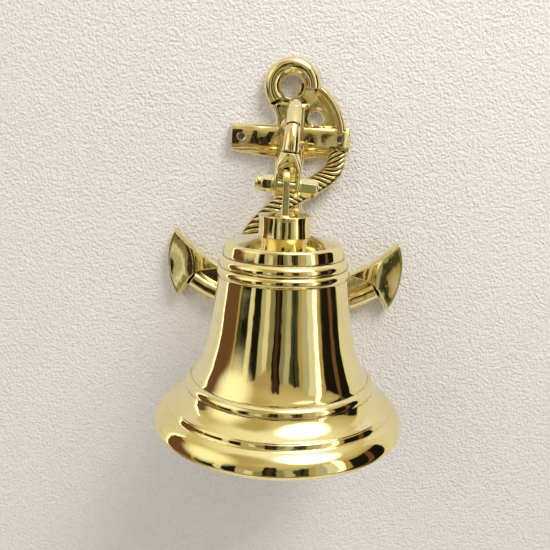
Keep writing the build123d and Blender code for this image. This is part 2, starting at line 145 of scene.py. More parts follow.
def surface(distance, low, high, cell):
    """Points, normals, faces and recesses of a distance field's surface, by surface nets."""
    cell = cell * DETAIL
    lines = [np.arange(a - 2 * cell, b + 3 * cell, cell) for a, b in zip(low, high)]
    field = np.asarray(distance(*np.meshgrid(*lines, indexing="ij", sparse=True)), np.float32)
    inside = field < 0
    cells = [n - 1 for n in field.shape]
    count = np.zeros(cells, np.uint8)
    for i, j, k in product((0, 1), repeat=3):
        count += inside[i:i + cells[0], j:j + cells[1], k:k + cells[2]]
    crossed = (count > 0) & (count < 8)
    number = np.full(cells, -1, np.int64)
    number[crossed] = np.arange(crossed.sum())
    corner = np.argwhere(crossed)

    # a point in each crossed cell: the mean of where the field changes sign on its edges
    total = np.zeros((len(corner), 3))
    hits = np.zeros(len(corner))
    for axis in range(3):
        unit = np.eye(3, dtype=int)[axis]
        for shift in product((0, 1), repeat=2):
            start = corner + np.insert(shift, axis, 0)
            a, b = field[tuple(start.T)], field[tuple((start + unit).T)]
            change = (a < 0) != (b < 0)
            part = np.where(change, a / np.where(change, a - b, 1), 0)
            total += np.where(change[:, None], start + part[:, None] * unit, 0)
            hits += change
    points = np.array([line[0] for line in lines]) + cell * total / hits[:, None]

    faces = []
    for axis in range(3):
        unit = np.eye(3, dtype=int)
        first = inside.take(range(cells[axis]), axis)
        second = inside.take(range(1, cells[axis] + 1), axis)
        edges = np.argwhere(first != second)
        u, v = unit[(axis + 1) % 3], unit[(axis + 2) % 3]
        edges = edges[(edges @ u > 0) & (edges @ v > 0)]
        edges = edges[(edges @ u < cells[(axis + 1) % 3]) & (edges @ v < cells[(axis + 2) % 3])]
        ring = [number[tuple((edges - s).T)] for s in (0 * u, u, u + v, v)]
        quads = np.stack(ring, 1)
        backward = ~inside[tuple(edges.T)]
        quads[backward] = quads[backward][:, ::-1]
        faces.append(quads)

    for _ in range(3):
        slope = gradient(distance, points, 0.2 * cell)
        size = np.maximum((slope ** 2).sum(1), 0.05)
        move = slope * (distance(*points.T) / size)[:, None]
        far = np.linalg.norm(move, axis=1, keepdims=True)
        points = points - move * np.minimum(1, 0.35 * cell / np.maximum(far, 1e-9))
    normals = gradient(distance, points, 0.3 * cell)
    normals /= np.maximum(np.linalg.norm(normals, axis=1, keepdims=True), 1e-9)
    # How shut in each point is; the brass paints this darker, as tarnish and painted shade.
    reach = 2.4
    open_air = distance(*(points + reach * normals).T) / reach
    return points, normals, np.concatenate(faces), np.clip(1 - open_air, 0, 1)


def piece(name, shape, body, node, finish):
    """A mesh object that stands for a CAD node and rides on its body."""
    points, normals, faces, recess = shape
    mesh = bpy.data.meshes.new(name)
    mesh.from_pydata((points * MM).tolist(), [], faces.tolist() if hasattr(faces, "tolist") else faces)
    mesh.update()
    mesh.shade_smooth()
    mesh.normals_split_custom_set_from_vertices(normals.tolist())
    layer = mesh.attributes.new("recess", "FLOAT", "POINT")
    layer.data.foreach_set("value", np.asarray(recess, np.float32))
    item = bpy.data.objects.new(name, mesh)
    bpy.context.scene.collection.objects.link(item)
    mesh.materials.append(finish["material"])
    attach(item, body)
    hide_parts(node)
    return item


def grid_faces(rows, columns):
    """Quads of a tube with closed rows."""
    faces = []
    for i in range(rows - 1):
        for j in range(columns):
            k = (j + 1) % columns
            faces.append((i * columns + j, i * columns + k, (i + 1) * columns + k, (i + 1) * columns + j))
    return faces


def swept(path, side, radius, recess=None):
    """A tube along a flat path. side is the direction square to the path's plane, and radius
    has a row for each point of the path and a column for each direction around it."""
    tangent = np.gradient(path, axis=0)
    tangent /= np.linalg.norm(tangent, axis=1, keepdims=True)
    across = np.cross(tangent, side)
    rows, columns = radius.shape
    turn = np.linspace(0, 2 * pi, columns, endpoint=False)
    ring = np.cos(turn)[None, :, None] * side + np.sin(turn)[None, :, None] * across[:, None, :]
    points = path[:, None, :] + radius[:, :, None] * ring
    along = np.gradient(points, axis=0)
    around = np.roll(points, -1, 1) - np.roll(points, 1, 1)
    normals = np.cross(around, along)
    normals /= np.maximum(np.linalg.norm(normals, axis=2, keepdims=True), 1e-12)
    faces = grid_faces(rows, columns)
    ends = [tuple(range(columns))[::-1], tuple(range((rows - 1) * columns, rows * columns))]
    recess = np.zeros(radius.shape) if recess is None else recess
    return points.reshape(-1, 3), normals.reshape(-1, 3), faces + ends, recess.ravel()


def smooth_line(points, tangents, spacing):
    """A smooth curve through points, with the given directions at its two ends."""
    points = np.array(points, float)
    slopes = np.gradient(points, axis=0)
    lengths = np.linalg.norm(np.diff(points, axis=0), axis=1)
    slopes[1:-1] = (points[2:] - points[:-2]) / (lengths[1:] + lengths[:-1])[:, None]
    slopes[0], slopes[-1] = tangents
    slopes /= np.linalg.norm(slopes, axis=1, keepdims=True)
    line = []
    for i, length in enumerate(lengths):
        t = np.linspace(0, 1, max(2, round(length / spacing)), endpoint=False)[:, None]
        line.append((2 * t ** 3 - 3 * t ** 2 + 1) * points[i] + (3 * t ** 2 - 2 * t ** 3) * points[i + 1]
                    + length * ((t ** 3 - 2 * t ** 2 + t) * slopes[i] + (t ** 3 - t ** 2) * slopes[i + 1]))
    return np.concatenate(line + [points[-1:]])


def even(line, spacing):
    """The same line with evenly spaced points."""
    length = np.concatenate([[0], np.cumsum(np.linalg.norm(np.diff(line, axis=0), axis=1))])
    wanted = np.linspace(0, length[-1], round(length[-1] / spacing) + 1)
    return np.stack([np.interp(wanted, length, column) for column in line.T], 1), wanted


def blurred(values, width):
    """values smoothed along their first axis by a bell curve, width points wide."""
    reach = int(3 * width) + 1
    weight = np.exp(-0.5 * (np.arange(-reach, reach + 1) / width) ** 2)
    weight /= weight.sum()
    padded = np.concatenate([np.repeat(values[:1], reach, 0), values, np.repeat(values[-1:], reach, 0)])
    return np.stack([np.convolve(column, weight, "valid") for column in padded.T], 1)


def turned(profile, centre, sides, edge_radius=0.3):
    """A closed profile of (radius, height) turned about an upright axis, edges slightly rounded."""
    spacing = 0.1
    closed = np.array(list(profile) + [profile[0]], float)
    line, _ = even(closed, spacing)
    line = line[:-1]
    count = len(line)
    wrapped = np.concatenate([line, line, line])
    rounded = blurred(wrapped, edge_radius / spacing)[count:2 * count]
    wide = blurred(wrapped, 1.1 / spacing)[count:2 * count]
    tangent = np.roll(rounded, -1, 0) - np.roll(rounded, 1, 0)
    tangent /= np.linalg.norm(tangent, axis=1, keepdims=True)
    normal = np.stack([tangent[:, 1], -tangent[:, 0]], 1)
    area = (line[:, 0] * np.roll(line[:, 1], -1) - np.roll(line[:, 0], -1) * line[:, 1]).sum()
    normal *= np.sign(area)
    # How far the profile sinks below its smoothed line; the brass paints this darker, as tarnish and painted
    # shade.
    recess = np.clip(((wide - rounded) * normal).sum(1) / 0.35, 0, 1)

    # keep the points where the profile turns, and enough between them
    kept = [0]
    limit = radians(3.0 * DETAIL)
    for i in range(1, count):
        turn = np.arccos(np.clip(tangent[i] @ tangent[kept[-1]], -1, 1))
        if turn > limit or (i - kept[-1]) * spacing > 2.5 * DETAIL:
            kept.append(i)
    rounded, normal, recess = rounded[kept], normal[kept], recess[kept]

    angle = np.linspace(0, 2 * pi, sides, endpoint=False)
    ring = np.stack([np.cos(angle), np.sin(angle)], 1)
    radius = np.maximum(rounded[:, 0], 0.01)
    flat = radius[:, None, None] * ring + np.array(centre)
    height = np.repeat(rounded[:, 1][:, None, None], sides, 1)
    points = np.concatenate([flat, height], 2)
    tilt = np.repeat(normal[:, 1][:, None, None], sides, 1)
    normals = np.concatenate([normal[:, 0][:, None, None] * ring, tilt], 2)
    faces = grid_faces(len(kept), sides)
    last = (len(kept) - 1) * sides
    for j in range(sides):
        k = (j + 1) % sides
        faces.append((last + j, last + k, k, j))
    if area < 0:
        faces = [face[::-1] for face in faces]
    return points.reshape(-1, 3), normals.reshape(-1, 3), faces, np.repeat(recess, sides)


# ==== Brass ===========================================================================
def brass(name, bright, deep, tarnish, roughness, waviness, scratches, pits, turning=0.0):
    """Polished brass: colour that drifts between two tones, recesses darkened as tarnish and as painted
    shade, tarnish in thin blotches, smudged gloss, hand-polishing waves, fine scratches and casting pits."""
    material = bpy.data.materials.new(name)
    material.use_nodes = True
    nodes, links = material.node_tree.nodes, material.node_tree.links
    shader = nodes["Principled BSDF"]
    shader.inputs["Metallic"].default_value = 1.0
    place = nodes.new("ShaderNodeTexCoord").outputs["Object"]

    def noise(scale, detail=3.0, stretch=(1, 1, 1)):
        mapping = nodes.new("ShaderNodeMapping")
        mapping.inputs["Scale"].default_value = stretch
        links.new(place, mapping.inputs["Vector"])
        texture = nodes.new("ShaderNodeTexNoise")
        texture.inputs["Scale"].default_value = scale
        texture.inputs["Detail"].default_value = detail
        links.new(mapping.outputs["Vector"], texture.inputs["Vector"])
        return texture.outputs["Fac"]

    def spread(value, low, high, to_low=0.0, to_high=1.0):
        node = nodes.new("ShaderNodeMapRange")
        node.interpolation_type = "SMOOTHSTEP"
        ends = {"From Min": low, "From Max": high, "To Min": to_low, "To Max": to_high}
        for socket, number in ends.items():
            node.inputs[socket].default_value = number
        links.new(value, node.inputs["Value"])
        return node.outputs["Result"]

    def combine(operation, a, b):
        node = nodes.new("ShaderNodeMath")
        node.operation = operation
        for socket, value in zip(node.inputs, (a, b)):
            if isinstance(value, (int, float)):
                socket.default_value = value
            else:
                links.new(value, socket)
        return node.outputs["Value"]

    def mixed(amount, a, b):
        node = nodes.new("ShaderNodeMix")
        node.data_type = "RGBA"
        links.new(amount, node.inputs["Factor"])
        for socket, colour in ((node.inputs["A"], a), (node.inputs["B"], b)):
            if isinstance(colour, tuple):
                socket.default_value = (*colour, 1)
            else:
                links.new(colour, socket)
        return node.outputs["Result"]

    recess = nodes.new("ShaderNodeAttribute")
    recess.attribute_name = "recess"
    ragged = combine("ADD", recess.outputs["Fac"], spread(noise(700), 0.3, 0.7, -0.12, 0.12))
    tarnish_and_shade = spread(ragged, 0.35, 0.85)
    blotch = spread(noise(55, 5), 0.52, 0.78, 0.0, 0.35)
    tone = spread(noise(24, 2), 0.35, 0.65)
    colour = mixed(tone, bright, deep)
    colour = mixed(combine("MULTIPLY", blotch, tarnish), colour, (0.42, 0.24, 0.07))
    # Recesses painted dark brown: partly tarnish, partly painted shade standing in for occlusion; its
    # strength follows tarnish.
    colour = mixed(combine("MULTIPLY", tarnish_and_shade, min(1.0, 0.5 + tarnish)), colour, (0.10, 0.062, 0.022))
    links.new(colour, shader.inputs["Base Color"])

    smudge = spread(noise(38, 4), 0.4, 0.75, 0.0, 0.07)
    gloss = combine("ADD", combine("ADD", smudge, roughness), combine("MULTIPLY", tarnish_and_shade, 0.15))
    links.new(combine("ADD", gloss, combine("MULTIPLY", blotch, 0.12)), shader.inputs["Roughness"])

    height = combine("MULTIPLY", noise(48, 2), waviness)
    height = combine("ADD", height, combine("MULTIPLY", noise(900, 2, (1, 1, 0.08)), scratches))
    height = combine("ADD", height, combine("MULTIPLY", spread(noise(420, 4), 0.62, 0.8), -pits))
    if turning:
        height = combine("ADD", height, combine("MULTIPLY", noise(1.0, 2, (2, 2, 1500)), turning))
    bump = nodes.new("ShaderNodeBump")
    bump.inputs["Strength"].default_value = 1.0
    bump.inputs["Distance"].default_value = MM
    links.new(height, bump.inputs["Height"])
    links.new(bump.outputs["Normal"], shader.inputs["Normal"])
    return material


finishes = {
    "bell": {"slot": "bell_brass", "material": brass(
        "bell_brass", (0.92, 0.84, 0.50), (0.88, 0.77, 0.39),
        tarnish=0.25, roughness=0.03, waviness=0.22, scratches=0.0015, pits=0.0, turning=0.004)},
    "polished": {"slot": "polished_brass", "material": brass(
        "polished_brass", (0.92, 0.84, 0.50), (0.87, 0.75, 0.37),
        tarnish=0.45, roughness=0.05, waviness=0.35, scratches=0.006, pits=0.02)},
    "cast": {"slot": "cast_brass", "material": brass(
        "cast_brass", (0.90, 0.82, 0.49), (0.80, 0.66, 0.32),
        tarnish=0.7, roughness=0.07, waviness=1.1, scratches=0.010, pits=0.05)},
    "plain": {"slot": "plain_brass", "material": brass(
        "plain_brass", (0.91, 0.83, 0.49), (0.84, 0.71, 0.33),
        tarnish=0.6, roughness=0.09, waviness=0.25, scratches=0.010, pits=0.03)},
}


# ==== Anchor ==========================================================================
shank_depth = 10.0
seat_depth = 13.0
seat_radius = 6.8
stock_depth = 9.5
crown_lean = radians(2.1)        # the arms sit a little askew on the shank
crown_centre_z = -78.0
bow_centre_z = -2.0
bow_inner_radius = 114.0
bow_outer_radius = 127.6
spigot_z = 7.0
screw_x, screw_hole_radius, screw_head_radius = 34.0, 2.4, 3.5
nut_pocket_radius, nut_pocket_depth = 7.8, 6.2
ring_z = 34.0
ring_mid_radius = 13.5
ring_wire_radius = 5.7
ring_fill_x = 3.4
palm_edge = ((79.6, -68.0), (83.9, -88.0), (74.8, -117.9))
palm_heel = (68.6, -106.8)
palm_notch = (60.5, -97.5)
palm_bill = (45.0, -94.0)
palm_hollow = (62.5, -83.2)
palm_ridge = (65.0, -95.0)
gusset_corners = [(64.0, -96.0), (44.0, -92.5), (41.0, -112.0), (62.0, -104.0)]
cord_points = ((17.0, 33.0), (27.6, 22.6), (34.4, 4.0))


def shank(x, z, d):
    """Flat bar that lies flush with the stock and the ring, with a round seat for the neck."""
    side = outline(x, z, [
        (-13.2, 21.5), (-10, 24), (10.5, 22), (9.6, -22), (12, -112), (8.5, -126), (0, -134),
        (-8.5, -126), (-12, -112), (-9.6, -22), (-10.2, 10), (-10.6, 14), (-11.8, 18)]) + 0.12 * d
    bar = both(side, d - shank_depth + 1.6 * ease(z, -20, -15), 1.6)
    seat = both(np.hypot(x, z - spigot_z) - seat_radius + 0.07 * d, d - seat_depth, 0.9)
    return either(bar, seat, 1.2)


def stock(x, z, d):
    """A flat bar, deepest in the middle. Its face is crowned and a little wavy from polishing."""
    side = outline(x, z, [(-41, 8.6), (41, 8.6), (41, -10.2), (0, -15.8), (-41, -10.2)]) + 0.08 * d
    waves = 0.40 * np.sin(0.17 * x + 0.07 * z - 1.1) + 0.13 * np.sin(0.41 * x - 0.19 * z)
    crown = 0.020 * (z + 1.0) ** 2 + 0.00015 * (z + 1.0) ** 4 + 0.0004 * x ** 2
    face = stock_depth - 0.3 + waves - np.minimum(crown, 3.5)
    front = (d - face) * 0.95
    bar = both(side, front, 0.5)
    top = z - 8.6 + 0.08 * d
    bottom = -z - 15.8 + 0.14 * np.abs(x) + 0.08 * d
    right = (front + 0.34 * (x - 36.5)) / hypot(1, 0.34)
    bar = np.maximum(bar, (top + front + 1.2) * sqrt(0.5))
    bar = np.maximum(bar, (bottom + front + 0.8) * sqrt(0.5))
    return both(bar, right, 0.3)


def ring(x, z, d):
    """A thick hook that ends in flat cuts on its right and lower left, over a flatter ring, and
    a plate that closes the right side of its hole."""
    reach = np.hypot(x, z - ring_z)
    across = reach - ring_mid_radius
    hook = np.hypot(across, d - ring_wire_radius - 0.4) - ring_wire_radius
    right_cut = np.maximum(4 - x, z - ring_z + 1.4)
    left_cut = np.maximum(0.90 * (z - 20.6) - 0.43 * (x + 18.7), x - 2)
    hook = both(hook, -np.minimum(right_cut, left_cut), 0.4)
    low = both(np.abs(across) - ring_wire_radius + 0.2, (d - 6.8 + 0.32 * across) * 0.95, 1.2)
    plate = both(both(reach - 10, ring_fill_x - x, 0.4), z - 36, 0.4)
    plate = both(plate, d - 5.6 + 0.3 * (x - 6), 0.5)
    return either(either(hook, low, 0.4), plate, 0.4)


def web(x, z, d):
    plate = outline(x, z, [(3, 6), (3, 22), (19.5, 30), (29, 20), (33.5, 12), (33.5, 6)])
    plate = both(plate, d - 4.5, 0.4)
    eye = np.hypot(x - 17.3, z - 13.4)
    rim = np.hypot(eye - 5.9, d - 4.4) - 1.1
    return without(either(plate, rim, 0.5), eye - 4.9, 0.3)


def cord(x, z, d):
    """The smooth cord beside the ring, a round bar along an arc."""
    u, v, radius = circle_through(*cord_points)
    across = np.hypot(x - u, z - v) - radius
    bar = np.hypot(across, d - 5.0) - 3.4
    (x0, z0), _, (x1, z1) = cord_points
    start = ((x0 - u) * (z - v) - (z0 - v) * (x - u)) / radius
    end = ((z1 - v) * (x - u) - (x1 - u) * (z - v)) / radius
    return both(both(bar, start, 1.5), end, 1.5)


def on_crown(x, z):
    """Coordinates in the turned frame of the two arms."""
    x = x + crown_centre_z * sin(crown_lean)
    z = z - crown_centre_z * (1 - cos(crown_lean))
    return x * cos(crown_lean) - z * sin(crown_lean), x * sin(crown_lean) + z * cos(crown_lean)


def bow(x, z, d):
    """Both arms: one round-fronted bar along an arc."""
    u, v = on_crown(x, z)
    reach = np.hypot(u, v - bow_centre_z)
    sides = np.maximum(bow_inner_radius - reach, reach - bow_outer_radius) + 0.14 * d
    end = np.abs(u) * cos(radians(33)) + (v - bow_centre_z) * sin(radians(33))
    return both(both(sides, d - 11.0, 4.4), end, 0.3)


def palm(x, z, d):
    """Both flukes: a crescent whose crowned main face a ridge parts from the cove of the bill."""
    u, v = on_crown(x, z)
    u = np.abs(u)
    tip, _, point = palm_edge
    heel = arc(point, palm_heel, palm_notch, 12)
    upper = arc(palm_bill, palm_hollow, tip)
    shape = outline(u, v, arc(*palm_edge) + heel + [palm_notch] + upper)
    centre_u, centre_v, radius = circle_through(*palm_edge)
    from_edge = radius - np.hypot(u - centre_u, v - centre_v)
    centre_u, centre_v, radius = circle_through(tip, palm_ridge, point)
    from_ridge = radius - np.hypot(u - centre_u, v - centre_v)
    centre_u, centre_v, radius = circle_through(point, palm_heel, palm_notch)
    from_heel = np.hypot(u - centre_u, v - centre_v) - radius
    main = np.maximum(from_ridge, 0)
    cove = np.maximum(-from_ridge, 0)
    top = 12.0 - 0.0035 * (v + 93) ** 2 - 0.009 * main ** 2 - 5.0 * (1 - np.exp(-cove / 5.5))
    top = top + 0.30 * np.exp(-((from_edge - 0.8) / 0.7) ** 2)
    streaks = np.sin(1.7 * u + 0.9 * v) + 0.7 * np.sin(2.9 * u + 1.4 * v + 1)
    top = top + 0.003 * streaks * ease(main, 1, 4) * ease(from_edge, 1, 5)
    top = top - 1.9 * (1 - ease(from_heel, 0.2, 2.4)) * ease(-v, 96, 99)
    top = top - 0.35 * np.exp(-((cove - 2.6) / 0.5) ** 2) * ease(-v, 84, 90)
    metal = both(shape + 0.06 * d, (d - top) * 0.93, 0.6)
    gusset = both(outline(u, v, gusset_corners), d - 4.8, 0.4)
    return either(metal, gusset, 0.7)


def anchor(x, y, z):
    d = -y
    metal = either(shank(x, z, d), bow(x, z, d), 2.0)
    metal = either(metal, ring(x, z, d), 2.6)
    metal = either(metal, stock(x, z, d), 0.8)
    metal = either(metal, web(x, z, d), 0.6)
    metal = either(metal, cord(x, z, d), 0.7)
    metal = either(metal, palm(x, z, d), 0.8)
    metal = both(metal, y, 0.3)
    for side in (-1, 1):
        hole = np.hypot(x - screw_x * side, z)
        sink = (hole - screw_head_radius - (d - stock_depth + 0.3)) * sqrt(0.5)
        metal = without(metal, np.minimum(hole - screw_hole_radius, sink), 0.25)
    spigot = np.hypot(x, z - spigot_z)
    metal = np.maximum(metal, 3.0 - spigot)
    return without(metal, np.maximum(spigot - nut_pocket_radius, d - nut_pocket_depth), 0.4)


def make_anchor():
    low, high = (np.array(corner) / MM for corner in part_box("anchor"))
    points, normals, faces, recess = surface(anchor, low, high, 0.56)
    # The screw bores count as fully recessed, so the brass paints them dark: painted shade in the holes.
    bore = np.hypot(np.abs(points[:, 0]) - screw_x, points[:, 2])
    recess = np.maximum(recess, 1 - ease(bore, screw_hole_radius - 0.1, screw_hole_radius + 0.5))
    piece("anchor_casting", (points, normals, faces, recess), "bracket", "anchor", finishes["cast"])


# ==== Rope, cast on the anchor ========================================================
rope_radius = 6.6
rope_depth = 8.7
rope_strands = 7
rope_pitch = 34.0
rope_route = [(33, -8), (29.5, -22), (14, -34), (-5.6, -46.4), (-18, -58), (-27, -72), (-26, -88),
              (-11, -99), (9, -105), (26, -112)]


def make_rope():
    """Strands laid up right-handed, cut into the front of a round bar."""
    route = [(x, -rope_depth, z) for x, z in rope_route]
    start, end = np.subtract(route[1], route[0]), np.subtract(route[-1], route[-2])
    line = smooth_line(route, (start / np.linalg.norm(start), end / np.linalg.norm(end)), 0.5)
    line, length = even(line, 0.5 * DETAIL)
    columns = 96
    turn = np.linspace(0, 2 * pi, columns, endpoint=False)
    pitch = rope_pitch - 9.0 * (1 - ease(length, 30, 70))
    lay = 2 * pi * np.cumsum(np.gradient(length) / pitch)
    lay += 0.10 * np.sin(length / 9.0) + 0.07 * np.sin(length / 3.7 + 1)
    phase = 0.5 * rope_strands * (turn[None, :] - lay[:, None])
    crest = np.abs(np.cos(phase))
    front = ease(-np.cos(turn), -0.25, 0.35)[None, :]
    depth = (1 - crest) ** 1.25 * front
    left = length[-1] - length
    end_round = np.sqrt(np.clip(1 - (1 - np.minimum(left, 5.0) / 5.0) ** 2, 0.02, 1))
    radius = (rope_radius - 1.5 * depth) * end_round[:, None]
    # The strand grooves are marked as recesses, which the brass paints darker, as tarnish and painted shade.
    shape = swept(line, np.array([0, 1.0, 0]), radius, np.clip(depth * 1.9 - 0.2, 0, 1))
    points = shape[0]
    points[:, 1] = np.minimum(points[:, 1], -0.2)
    piece("anchor_rope", shape, "bracket", "anchor", finishes["cast"])


# ==== Swan-neck arm ===================================================================
neck_radius = 4.3
neck_bend = radians(43)          # where the tight lower bend passes into the wide upper one
lower_bend_radius = 20.0
upper_bend_radius = 43.0
crease_at = 48                   # place of the faint third groove, counted along the upper bend
spigot_radius = 3.0
fork_crotch, fork_shoulder = 12.3, 20.5
fork_half, fork_gap, prong_radius = 7.4, 10.0, 7.2
bolt_radius, bolt_bore_radius = 3.0, 3.05


def along_arm(depth, height):
    """Point in the arm's leaning plane, from its Y and its distance above the swing axis."""
    return pivot + height * neck_axis + np.array([0, depth - axis_y, 0])


def make_neck():
    upright = fork_shoulder - 1.5
    first = [(axis_y, h) for h in np.arange(fork_crotch + 1, upright, 0.25)]
    lower = [(axis_y + lower_bend_radius * (1 - cos(t)), upright + lower_bend_radius * sin(t))
             for t in np.linspace(0, neck_bend, 60)]
    groove_y, groove_up = lower[-1]
    upper = [(groove_y + upper_bend_radius * (cos(neck_bend) - sin(pi / 2 - t)),
              groove_up + upper_bend_radius * (cos(pi / 2 - t) - sin(neck_bend)))
             for t in np.linspace(neck_bend, pi / 2, 120)]
    crest = upper[-1]
    root = (-seat_depth - 3.0, (spigot_z - pivot_z) / swing_axis[0])
    middle = ((crest[0] + root[0]) / 2 + 1.0, (crest[1] + root[1]) / 2 + 0.4)
    fall = smooth_line([crest, middle, root], ((1.0, 0), (1.0, 0)), 0.25)
    spigot = [(depth, root[1]) for depth in np.arange(root[0] + 0.25, -0.8, 0.25)]
    flat = np.concatenate([first, lower[1:], upper[1:], fall[1:], spigot])
    flat, length = even(flat, 0.22 * DETAIL)
    line = np.array([along_arm(depth, height) for depth, height in flat])
    crease = upper[crease_at]
    marks = [(length[np.argmin(np.hypot(*(flat - mark).T))], strength)
             for mark, strength in ((first[-1], 1.0), (lower[-1], 1.0), (crease, 0.4))]
    radius = np.full(len(length), neck_radius)
    recess = np.zeros(len(length))
    radius += 0.55 * (1 - ease(length, 2, 24)) - 0.15 * ease(length, 30, 60)
    for place, strength in marks:
        off = np.abs(length - place)
        radius += strength * (0.16 / (1 + np.exp((off - 1.5) / 0.2)) - 0.85 * np.exp(-(off / 0.5) ** 2))
        # The grooves are marked as recesses, which the brass paints darker, as tarnish and painted shade.
        recess += strength * np.exp(-(off / 0.75) ** 2)
    to_wall = -flat[:, 0] - seat_depth
    near = np.clip((6.5 - to_wall) / 3.5, 0, 1)
    radius += 0.9 * near ** 2
    thread = spigot_radius + 0.12 * np.cos(2 * pi * to_wall)
    radius = np.where(to_wall < 0.05, thread, radius)
    radius = np.repeat(radius[:, None], 72, 1)
    recess = np.repeat(np.clip(recess, 0, 1)[:, None], 72, 1)
    piece("arm_neck", swept(line, swing_axis, radius, recess), "bracket", "arm", finishes["polished"])


def on_swing(x, y, z):
    """Coordinates along the swing axis, front to back, and up along the leaning arm."""
    along = (x - pivot[0]) * swing_axis[0] + (z - pivot[2]) * swing_axis[2]
    up = (x - pivot[0]) * neck_axis[0] + (z - pivot[2]) * neck_axis[2]
    return along, y - pivot[1], up


def fork(x, y, z):
    a, b, up = on_swing(x, y, z)
    rise = ease(up, 10.0, fork_shoulder + 1.0)
    half = fork_half - (fork_half - 4.75) * rise
    deep = prong_radius - (prong_radius - 4.75) * rise
    front = np.maximum((np.abs(a) - half) * 0.95, -prong_radius - up)
    bulge = 0.032 * a ** 2 * ease(up, 2, 12)
    side = np.where(up < 0, np.hypot(b, up) - prong_radius, (np.abs(b) - deep + bulge) * 0.93)
    solid = both(both(front, side, 1.3 + 3.3 * rise), up - fork_shoulder + 2.1, 0.4)
    top = fork_crotch - fork_gap / 2
    gap = np.where(up > top, np.hypot(a, up - top), np.abs(a)) - fork_gap / 2
    hood = np.hypot(a, up - top) - fork_gap / 2 - 1.5 + 0.9 * (b + prong_radius)
    solid = without(solid, np.where(up > top, np.minimum(gap, hood), gap), 0.5)
    return without(solid, np.hypot(b, up) - bolt_bore_radius, 0.2)


# ==== Bolt, nut and washers of the swing axis; nut and washer of the arm ==============
washer_face = fork_half + 1.0


def pivot_bolt(x, y, z):
    a, b, up = on_swing(x, y, z)
    far = np.hypot(b, up)
    shaft = both(far - bolt_radius, np.maximum(-a - washer_face - 5.9, a - washer_face - 1), 0.3)
    head = both(hexagon(up, b, 9.0), np.maximum(washer_face - a, a - washer_face - 10.0), 0.25)
    head = both(head, (far - 4.5 + a - washer_face - 8.9) * sqrt(0.5), 0.5)
    return either(shaft, head, 0.2)


def pivot_nut(x, y, z):
    a, b, up = on_swing(x, y, z)
    far = np.hypot(b, up)
    out = -a - washer_face
    nut = both(hexagon(up, b, 8.6), np.maximum(-out, out - 5.9), 0.3)
    nut = both(nut, (far - 4.3 + out - 5.5) * sqrt(0.5), 0.3)
    cap = both(far - 4.0, np.maximum(4.0 - out, out - 9.6), 2.0)
    return without(either(nut, cap, 0.3), np.maximum(far - bolt_radius, out - 6.0), 0.15)


def pivot_washers(x, y, z):
    a, b, up = on_swing(x, y, z)
    off = np.abs(a) - fork_half
    ring_shape = both(np.hypot(b, up) - 5.4, np.abs(off - 0.5) - 0.5, 0.3)
    return np.maximum(ring_shape, bolt_radius - np.hypot(b, up))


def arm_washer(x, y, z):
    far = np.hypot(x, z - spigot_z)
    return np.maximum(both(far - 7.2, np.abs(-y - 5.7) - 0.5, 0.25), 3.0 - far)


def arm_nut(x, y, z):
    far = np.hypot(x, z - spigot_z)
    d = -y
    nut = both(hexagon(x, z - spigot_z, 10.0), np.abs(d - 3.2) - 2.0, 0.2)
    nut = both(nut, (far - 5.0 + np.abs(d - 3.2) - 1.7) * sqrt(0.5), 0.2)
    return np.maximum(nut, 3.05 - far)


# ==== Hanger ==========================================================================
boss_height = 12.2
lug_radius = 10.9


def hanger(x, y, z):
    a, b = x - axis_x, y - axis_y
    far = np.hypot(a, b)
    up = z - boss_foot
    side = far - 14.75 - 0.6 * ((up - 0.5 * boss_height) / (0.5 * boss_height)) ** 2
    cone = boss_height + 2.8 * np.clip((14.4 - far) / 12.0, 0, 1) ** 1.6
    boss = both(both(side, (up - cone) * 0.9, 0.7), -up, 0.3)
    foot = 14.2
    foot_z = boss_foot + boss_height - pivot_z - 1.0
    strap = outline(b, z - pivot_z, [(-lug_radius, 0), (lug_radius, 0), (foot, foot_z), (-foot, foot_z)])
    strap = either(strap, np.hypot(b, z - pivot_z) - lug_radius, 0.3)
    lug = both(np.abs(a) - 1.95, strap, 0.55)
    metal = either(boss, lug, 1.6)
    _, across, height = on_swing(x, y, z)
    metal = without(metal, np.hypot(across, height) - bolt_bore_radius, 0.3)
    stud = both(far - 4.0 - 0.1 * np.cos(2 * pi * up / 1.25), np.maximum(-up - 15.0, up - 2.0), 0.4)
    return np.minimum(metal, stud)


